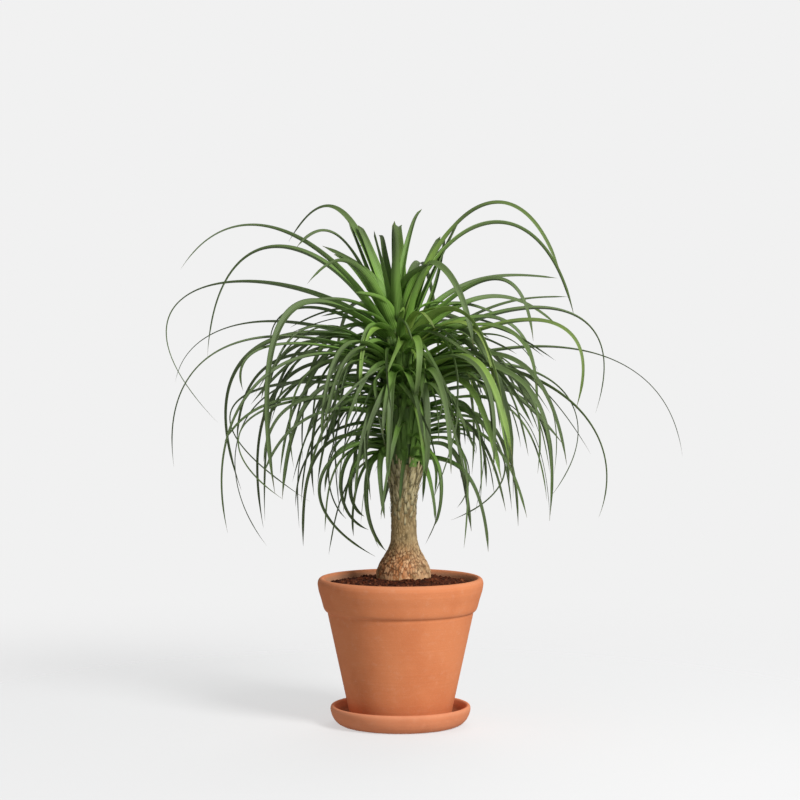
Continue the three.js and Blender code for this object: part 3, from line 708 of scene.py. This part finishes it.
YOUNG_TINT = 0.85  # the tint of a fully young leaf


def stoutness(root):
    """How much broader than listed a leaf is, by its root's height: the upper ones are the broadest."""
    return 0.95 + 0.35 * min(1, max(0, (root - 300) / 90))


def side_leaves(listed):
    """Listed side leaves as (turn, root, six curve numbers, width, twist, sway). One that turns back is
    stretched, so that it reaches as far to the side as its list says."""
    leaves = []
    for number, (side, turn, root, *curve, width, twist) in enumerate(listed):
        stretch = 1 / math.cos(math.radians(turn))
        curve = [c * stretch if i % 2 == 0 else c for i, c in enumerate(curve)]
        heading = turn if side > 0 else 180 - turn
        twist += FACE_TWIST * (-side if number % 4 == 3 else side)
        leaves.append((heading, root, *curve, width, twist, 5 * math.sin(2.4 * number)))
    return leaves


def path(turn, root, legs, width, twist, sway):
    """A leaf whose curve follows three legs, each (slope in degrees, length), from its root."""
    leaf, r, z = [turn, root], 0, root
    for slope, length in legs:
        r += length * math.cos(math.radians(slope))
        z += length * math.sin(math.radians(slope))
        leaf += [r, z]
    return (*leaf, width, twist, sway)


def rule_leaves(count, seed, width_share=1.0, first_turn=0.0, swing=44):
    """Leaves of the spiral rule. The higher up the core, the steeper they rise and the less they arch.
    Those a third of the way up are the longest, and low ones at the front and the back are short."""
    draw = draws(seed)
    leaves = []
    for i in range(count):
        share = (i + 0.5) / count
        turn = first_turn + i * GOLDEN_ANGLE + 24 * (next(draw) - 0.5)
        to_the_side = abs(math.cos(math.radians(turn)))
        length = (95 + 95 * math.sin(math.pi * min(1, 0.15 + 0.95 * share))) * (0.72 + 0.56 * next(draw))
        length *= 1 - 0.45 * (1 - share) * (1 - to_the_side)
        launch = 12 + 72 * share ** 1.3 + 26 * (next(draw) - 0.5)
        arch = launch - (60 - 34 * share ** 2 + 26 * (next(draw) - 0.5))
        fall = max(-88, arch - (70 - 30 * share ** 2 + 30 * (next(draw) - 0.5)))
        legs = [(launch, 0.43 * length), (arch, 0.24 * length), (fall, 0.56 * length)]
        width, twist, sway = 7 + 3.5 * next(draw), 150 * (next(draw) - 0.5), swing * (next(draw) - 0.5)
        leaves.append(path(turn, 268 + 124 * share, legs, width * width_share, twist, sway))
    return leaves


def curtain_leaves(count, seed, width_share=1.0):
    """Leaves that bend over close to the core and hang round it, the higher the longer."""
    draw = draws(seed)
    leaves = []
    for i in range(count):
        share = (i + 0.5) / count
        length = 105 + 50 * share + 35 * next(draw)
        launch, arch = 30 + 30 * next(draw), -25 - 30 * next(draw)
        legs = [(launch, 0.36 * length), (arch, 0.34 * length), (-85, 0.4 * length)]
        leaves.append(path(
            i * GOLDEN_ANGLE + 30 * next(draw), 312 + 70 * share, legs,
            (6.5 + 3 * next(draw)) * width_share, 120 * (next(draw) - 0.5), 70 * (next(draw) - 0.5)))
    return leaves


def side_fan(side, count, seed, near, far, low=312, high=374, rise=40, fall=100):
    """Thin leaves that arch out to one side and hang down at their ends, near to far mm from the core.
    Their roots stand between two heights, and they rise and fall by about so many mm."""
    draw = draws(seed)
    listed = []
    for _ in range(count):
        turn, root = 84 * (next(draw) - 0.5), low + (high - low) * next(draw)
        reach, crest = near + (far - near) * next(draw), root + rise * (0.55 + next(draw))
        bulge, tip = 0.85 + 0.3 * next(draw), crest - fall * (0.45 + next(draw))
        width, twist = 5.5 + 2.5 * next(draw), 60 * (next(draw) - 0.5)
        listed.append((side, turn, root, 0.5 * reach, crest, bulge * reach, crest, reach, tip, width, twist))
    return side_leaves(listed)


def midrib(leaf, steps):
    """Points from a leaf's root to its tip, with its upward directions, its widths in mm and how far
    along they are, from 0 to 1."""
    turn, root, r1, z1, r2, z2, r3, z3, width, twist, sway = leaf

    def at(r, z, swayed):
        heading = math.radians(turn + swayed)
        return np.array([stem_x(root) + r * math.cos(heading), r * math.sin(heading), z])

    a, b, c, d = at(0, root, 0), at(r1, z1, 0), at(r2, z2, 0.4 * sway), at(r3, z3, sway)
    along = np.linspace(0, 1, steps + 1)
    t = along[:, None]
    points = (1 - t) ** 3 * a + 3 * t * (1 - t) ** 2 * b + 3 * t * t * (1 - t) * c + t ** 3 * d
    tangent = (1 - t) ** 2 * (b - a) + 2 * t * (1 - t) * (c - b) + t * t * (d - c)
    tangent /= np.linalg.norm(tangent, axis=1)[:, None]
    level = np.array([-math.sin(math.radians(turn)), math.cos(math.radians(turn)), 0])
    side = level - tangent * (tangent @ level)[:, None]
    side /= np.linalg.norm(side, axis=1)[:, None]
    turning = np.radians(twist * along)[:, None]
    across = side * np.cos(turning) + np.cross(tangent, side) * np.sin(turning)
    widths = width * stoutness(root) * (TIP_WIDTH + (ROOT_WIDTH - TIP_WIDTH) * (1 - along) ** TAPER)
    above = np.maximum(0, points[:, 2] - CROWN_TOP)
    out = np.hypot(np.hypot(points[:, 0], points[:, 1]), above)
    far = np.clip((out - SLIM_BEYOND) / SLIM_LENGTH, 0, 1)
    widths *= (1 - SLIMMEST * far) * np.clip((1 - along) / POINT, 0.06, 1)
    return points, np.cross(tangent, across), widths, along


def clear_of_stem(leaves):
    """Leaves out the thin leaves that would hang very low, or in front of the stem."""
    kept = []
    for leaf in leaves:
        points = midrib(leaf, 20)[0]
        beside = np.abs(points[:, 0] - STEM_LEAN[0][1]) > STEM_CLEARANCE
        hides_nothing = beside | (points[:, 1] > IN_FRONT) | (points[:, 2] > TRUNK_TOP)
        if hides_nothing.all() and points[-1, 2] > LOWEST_TIP:
            kept.append(leaf)
    return kept


def living_ribs(leaves, steps, seed, youth=0.0):
    """The leaves' midribs, each with a tint and a slight waver of its own. Higher leaves are yellower, as
    younger ones, and low ones are darker, partly as painted shade; those towards the key light are
    painted yellower, as painted light. Youth, from 0 to 1, makes them all bright and keeps their ends green."""
    draw = draws(seed)
    ribs = []
    for leaf in leaves:
        points, up, widths, along = midrib(leaf, steps)
        # Painted light: a leaf turned towards the key light gets a yellower tint.
        painted_light = max(0, math.cos(math.radians(leaf[0] - PAINTED_LIGHT_SIDE))) ** 3
        # Partly painted shade: low leaves, older and under the crown, get a darker tint.
        by_height = 0.2 + 0.36 * (leaf[1] - TRUNK_TOP) / ROOTS_SPAN
        tint = by_height + 0.4 * (next(draw) - 0.5) + 0.4 * painted_light * next(draw)
        tint += youth * (YOUNG_TINT - tint)
        phase, wave = 6.28 * next(draw), 0.9 + 1.6 * next(draw)
        side = np.cross(up, np.gradient(points, axis=0))
        side /= np.linalg.norm(side, axis=1)[:, None]
        points = points + side * (wave * along * np.sin(7 * along + phase))[:, None]
        length = np.linalg.norm(np.diff(points, axis=0), axis=1).sum()
        darkening = np.clip((along * length - FRESH_LENGTH) / DARKENING_LENGTH, 0, 1)
        darkening *= 1.1 - 0.6 * min(1, tint) ** 2
        darkening *= 1 - 0.6 * youth
        ribs.append((points, up, widths, along, tint, darkening))
    return ribs


BASE_POINTS = 9  # points along a leaf base


def clasping_ribs(count, seed, low, high, length, width, flare, lowest=1.0, glow=1.0):
    """Leaf bases that clasp the stem or the core between two heights, and stand off at their tops. Where
    lowest is less than 1, the lowest are that share of full size and lie the widest apart. Glow scales
    their tint, which is painted paler on the side towards the key light, as painted light."""
    draw = draws(seed)
    heights, radii = zip(*(TRUNK_OUTLINE + [(z, r) for r, z in CORE_OUTLINE[2:]]))
    ribs = []
    for i in range(count):
        share = ((i + 0.5) / count) ** (0.6 if lowest < 1 else 1.0)
        start = low + (high - low) * share
        size = lowest + (1 - lowest) * min(1, 2 * share)
        t = np.linspace(0, 1, BASE_POINTS)
        z = start + size * length * (0.75 + 0.5 * next(draw)) * t
        heading = np.radians(i * GOLDEN_ANGLE + 20 * next(draw) + 14 * (next(draw) - 0.5) * t)
        r = np.interp(z, heights, radii) + 0.2 + size * flare * (0.5 + next(draw)) * t ** 2
        points = np.stack([stem_x(z) + r * np.cos(heading), r * np.sin(heading), z], axis=1)
        outward = np.stack([np.cos(heading), np.sin(heading), np.zeros(BASE_POINTS)], axis=1)
        widths = size * width * (0.8 + 0.4 * next(draw)) * (1 - 0.68 * t)
        # Painted light: a base turned towards the key light gets a paler tint.
        painted_light = max(0, math.cos(heading[0] - math.radians(PAINTED_LIGHT_SIDE)))
        tint = glow * (0.15 + 0.45 * next(draw) + 0.4 * painted_light)
        ribs.append((points, outward, widths, t, tint, 0 * t))
    return ribs


def make_core():
    """The green growing core that all the leaves stand on."""
    vertices, faces = turn_outline(rounded(CORE_OUTLINE, radius=4), sides=48)
    vertices[:, 0] += stem_x(vertices[:, 2])
    made = make_object("growing_core", vertices * MM, faces)
    for label, value in [("along", 0.3), ("across", 0), ("tint", 0), ("dark", 0.5)]:
        store(made.data, label, np.full(len(vertices), value, float))
    made.data.materials.append(LEAF)
    return made


def leaf_body(name, ribs, keel=STRAP_KEEL, thickness=STRAP_THICK, points=12):
    """One body of living leaves."""
    return swept(name, ribs, LEAF, keel, thickness, points)


core = make_core()

listed_leaves = side_leaves(SIDE_LEAVES) + [(*leaf, 0.0) for leaf in FACING_LEAVES]
outline_leaves = leaf_body("long_leaves", living_ribs(listed_leaves, steps=56, seed=5))
bright_leaves = leaf_body(
    "bright_leaves", living_ribs(side_leaves(BRIGHT_LEAVES), steps=56, seed=19, youth=0.8), keel=0.3)
head_leaves = leaf_body("spiral_leaves", living_ribs(rule_leaves(RULE_LEAVES, LEAF_SEED), steps=36, seed=9))

# Thin leaves fill the head between the others. The lowest and the highest of their spiral are left out.
slim = rule_leaves(124, 57, width_share=0.7, first_turn=70.0, swing=90)[38:92]
slim += side_fan(-1, 9, 51, near=100, far=190) + side_fan(1, 14, 53, near=90, far=165)
slim += side_fan(-1, 7, 71, near=32, far=84, low=262, high=290, rise=14, fall=56)
slim += side_fan(1, 4, 73, near=28, far=72, low=264, high=290, rise=14, fall=56)
slim += side_leaves(LOW_LEAVES)
thin_leaves = leaf_body(
    "thin_leaves", living_ribs(clear_of_stem(slim), steps=34, seed=13), thickness=0.08, points=10)

curtain = curtain_leaves(5, seed=31) + curtain_leaves(40, seed=37, width_share=0.8)
hanging_leaves = leaf_body("hanging_leaves", living_ribs(curtain, steps=32, seed=17), keel=0.3)

# A keel below 0 rounds a leaf base outwards, over what it clasps.
sheath_ribs = clasping_ribs(190, seed=41, low=258, high=386, length=34, width=10, flare=6, glow=0.5)
sheaths = leaf_body("leaf_sheaths", sheath_ribs, keel=-0.12, thickness=0.1, points=10)
stub_ribs = clasping_ribs(150, seed=43, low=196, high=260, length=12, width=4.6, flare=1.8, lowest=0.5)
dry_bases = swept("dry_leaf_bases", stub_ribs, DRY_BASE, keel=-0.14, thickness=0.12, points=10)


# ------------------------------------------------------------------ stage, lights and camera
def area_light(name, place, target, size, watts, mirrored=True):
    """A square soft light. One that isn't mirrored lights the leaves but gives them no white glints."""
    light = bpy.data.lights.new(name, "AREA")
    light.size, light.energy = size, watts
    made = placed(name, light)
    made.location = place
    made.visible_glossy = mirrored
    made.rotation_euler = (Vector(target) - Vector(place)).to_track_quat("-Z", "Y").to_euler()


FLOOR_RADIUS = 2.0  # m
floor = make_object("studio_floor", *turn_outline([(0, 0), (FLOOR_RADIUS, 0)], sides=64))
floor.data.materials.append(pale_floor())

area_light("key_light", (1.6, -1.85, 1.7), (0, 0, 0.25), 0.9, 80)
area_light("fill_light", (-2.0, -1.4, 0.9), (0, 0, 0.25), 2.0, 2)
area_light("back_light", (0.4, 1.8, 1.8), (0, 0, 0.35), 1.6, 16, mirrored=False)

world = bpy.data.worlds.new("studio")
bpy.context.scene.world = world
world.use_nodes = True
sky = world.node_tree
sky.nodes.clear()
seen = add_node(sky, "ShaderNodeBackground", {"Color": hex_colour("#f1f1f1")})
lit = add_node(sky, "ShaderNodeBackground", {"Color": hex_colour("#f4f5f8"), "Strength": 0.34})
ray = add_node(sky, "ShaderNodeLightPath")
which = add_node(sky, "ShaderNodeMixShader", {
    0: ray.outputs["Is Camera Ray"], 1: lit.outputs[0], 2: seen.outputs[0]})
add_node(sky, "ShaderNodeOutputWorld", {"Surface": which.outputs[0]})
bpy.context.scene.view_settings.view_transform = "Standard"

CAMERA_DISTANCE, CAMERA_HEIGHT, CAMERA_ASIDE = 2.4, 0.426, -0.0005  # m
LOOKS_AT_HEIGHT, PICTURE_WIDTH = 0.3257, 0.8  # m, at the plant's axis
camera_data = bpy.data.cameras.new("camera")
camera_data.sensor_width = 36
drop = CAMERA_HEIGHT - LOOKS_AT_HEIGHT
camera_data.lens = camera_data.sensor_width * math.hypot(CAMERA_DISTANCE, drop) / PICTURE_WIDTH
camera = placed("camera", camera_data)
camera.location = (CAMERA_ASIDE, -CAMERA_DISTANCE, CAMERA_HEIGHT)
camera.rotation_euler = (math.pi / 2 - math.atan2(drop, CAMERA_DISTANCE), 0, 0)
bpy.context.scene.camera = camera

# ------------------------------------------------------------------ each piece to the root body, with the imported node it stands for hidden
for piece, solid, finish in [
    (saucer, "saucer", "terracotta"), (pot, "pot", "terracotta"), (soil, "soil", "potting_soil"),
    (crumbs, "soil", "potting_soil"), (trunk, "trunk", "bark"), (dry_bases, "trunk", "bark"),
    (core, "leaf_crown", "leaf"), (sheaths, "leaf_crown", "leaf"), (outline_leaves, "leaf_crown", "leaf"),
    (bright_leaves, "leaf_crown", "leaf"), (head_leaves, "leaf_crown", "leaf"),
    (thin_leaves, "leaf_crown", "leaf"), (hanging_leaves, "leaf_crown", "leaf"),
]:
    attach(piece, "root")
    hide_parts(solid)
